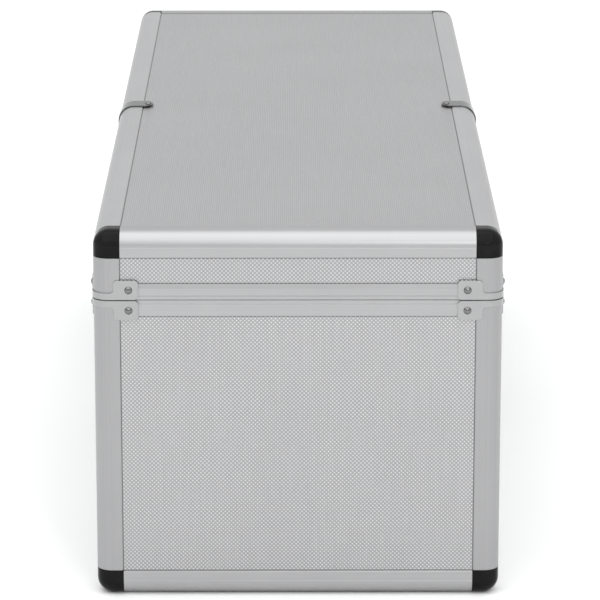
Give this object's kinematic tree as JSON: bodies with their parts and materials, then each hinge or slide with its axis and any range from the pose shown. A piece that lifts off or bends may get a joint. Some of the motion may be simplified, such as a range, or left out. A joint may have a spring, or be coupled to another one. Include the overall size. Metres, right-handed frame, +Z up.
{
  "type": "aluminium storage case",
  "caption": "Long aluminium-framed hard case with embossed panels, black moulded corners, a rear-hinged lid, draw latches and a folding carry handle.",
  "frame": {"origin": "centre of the footprint on the surface the case stands on", "axes": "+Z up, +X towards the latches and handle (front), -X towards the hinges (rear), Y along the case, -Y being the end seen in the reference"},
  "size_m": [0.3526, 0.9858, 0.3111],
  "materials": {
    "embossed_panel": "satin sheet embossed with a fine staggered grid of dots",
    "anodised_profile": "satin",
    "closing_profile": "satin",
    "black_corner": "gloss",
    "chromed_steel": "polished",
    "rivet_steel": "polished",
    "pin_steel": "satin",
    "foam_lining": "matte",
    "black_grip": "matte"
  },
  "bodies": {
    "base": {"base_ball_corners": "black_corner", "base_corner_clips": "chromed_steel", "base_edge_far": "anodised_profile", "base_edge_front": "anodised_profile", "base_edge_near": "anodised_profile", "base_edge_rear": "anodised_profile", "base_lining": "foam_lining", "base_panel_bottom": "embossed_panel", "base_panel_far": "embossed_panel", "base_panel_front": "embossed_panel", "base_panel_near": "embossed_panel", "base_panel_rear": "embossed_panel", "base_post_far_front": "anodised_profile", "base_post_far_rear": "anodised_profile", "base_post_near_front": "anodised_profile", "base_post_near_rear": "anodised_profile", "base_rim_far": "closing_profile", "base_rim_front": "closing_profile", "base_rim_near": "closing_profile", "base_rim_rear": "closing_profile", "base_rivets": "rivet_steel", "handle_brackets": "chromed_steel", "hinge_base_leaves": "chromed_steel", "hinge_pins": "pin_steel", "latch_base_plates": "chromed_steel", "latch_pivot_pins": "pin_steel"},
    "lid": {"hinge_lid_leaves": "chromed_steel", "latch_keepers": "chromed_steel", "lid_ball_corners": "black_corner", "lid_corner_clips": "chromed_steel", "lid_edge_far": "anodised_profile", "lid_edge_front": "anodised_profile", "lid_edge_near": "anodised_profile", "lid_edge_rear": "anodised_profile", "lid_lining": "foam_lining", "lid_mid_straps": "chromed_steel", "lid_panel_far": "embossed_panel", "lid_panel_front": "embossed_panel", "lid_panel_near": "embossed_panel", "lid_panel_rear": "embossed_panel", "lid_panel_top": "embossed_panel", "lid_post_far_front": "anodised_profile", "lid_post_far_rear": "anodised_profile", "lid_post_near_front": "anodised_profile", "lid_post_near_rear": "anodised_profile", "lid_rim_far": "closing_profile", "lid_rim_front": "closing_profile", "lid_rim_near": "closing_profile", "lid_rim_rear": "closing_profile", "lid_rivets": "rivet_steel"},
    "latch_lever_near": {"latch_lever_near": "chromed_steel", "latch_hook_pin_near": "pin_steel"},
    "latch_hook_near": {"latch_hook_near": "chromed_steel"},
    "latch_lever_far": {"latch_lever_far": "chromed_steel", "latch_hook_pin_far": "pin_steel"},
    "latch_hook_far": {"latch_hook_far": "chromed_steel"},
    "handle": {"handle_bail": "chromed_steel", "handle_grip": "black_grip"}
  },
  "joints": [
    {"name": "lid_hinge", "type": "hinge", "parent": "base", "child": "lid", "pos_m": [-0.1692, 0, 0.2515], "axis": [0, -1, 0], "range_deg": [0, 100]},
    {"name": "latch_lever_near_swing", "type": "hinge", "parent": "base", "child": "latch_lever_near", "pos_m": [0.17, -0.284, 0.243], "axis": [0, -1, 0], "range_deg": [0, 100]},
    {"name": "latch_hook_near_swing", "type": "hinge", "parent": "latch_lever_near", "child": "latch_hook_near", "pos_m": [0.1689, -0.284, 0.2355], "axis": [0, 1, 0], "range_deg": [0, 120]},
    {"name": "latch_lever_far_swing", "type": "hinge", "parent": "base", "child": "latch_lever_far", "pos_m": [0.17, 0.284, 0.243], "axis": [0, -1, 0], "range_deg": [0, 100]},
    {"name": "latch_hook_far_swing", "type": "hinge", "parent": "latch_lever_far", "child": "latch_hook_far", "pos_m": [0.1689, 0.284, 0.2355], "axis": [0, 1, 0], "range_deg": [0, 120]},
    {"name": "handle_swing", "type": "hinge", "parent": "base", "child": "handle", "pos_m": [0.1725, 0, 0.171], "axis": [0, -1, 0], "range_deg": [0, 90]}
  ],
  "couplings": [
    {"joint": "latch_hook_near_swing", "follows": "latch_lever_near_swing", "ratio": 1.2},
    {"joint": "latch_hook_far_swing", "follows": "latch_lever_far_swing", "ratio": 1.2}
  ]
}
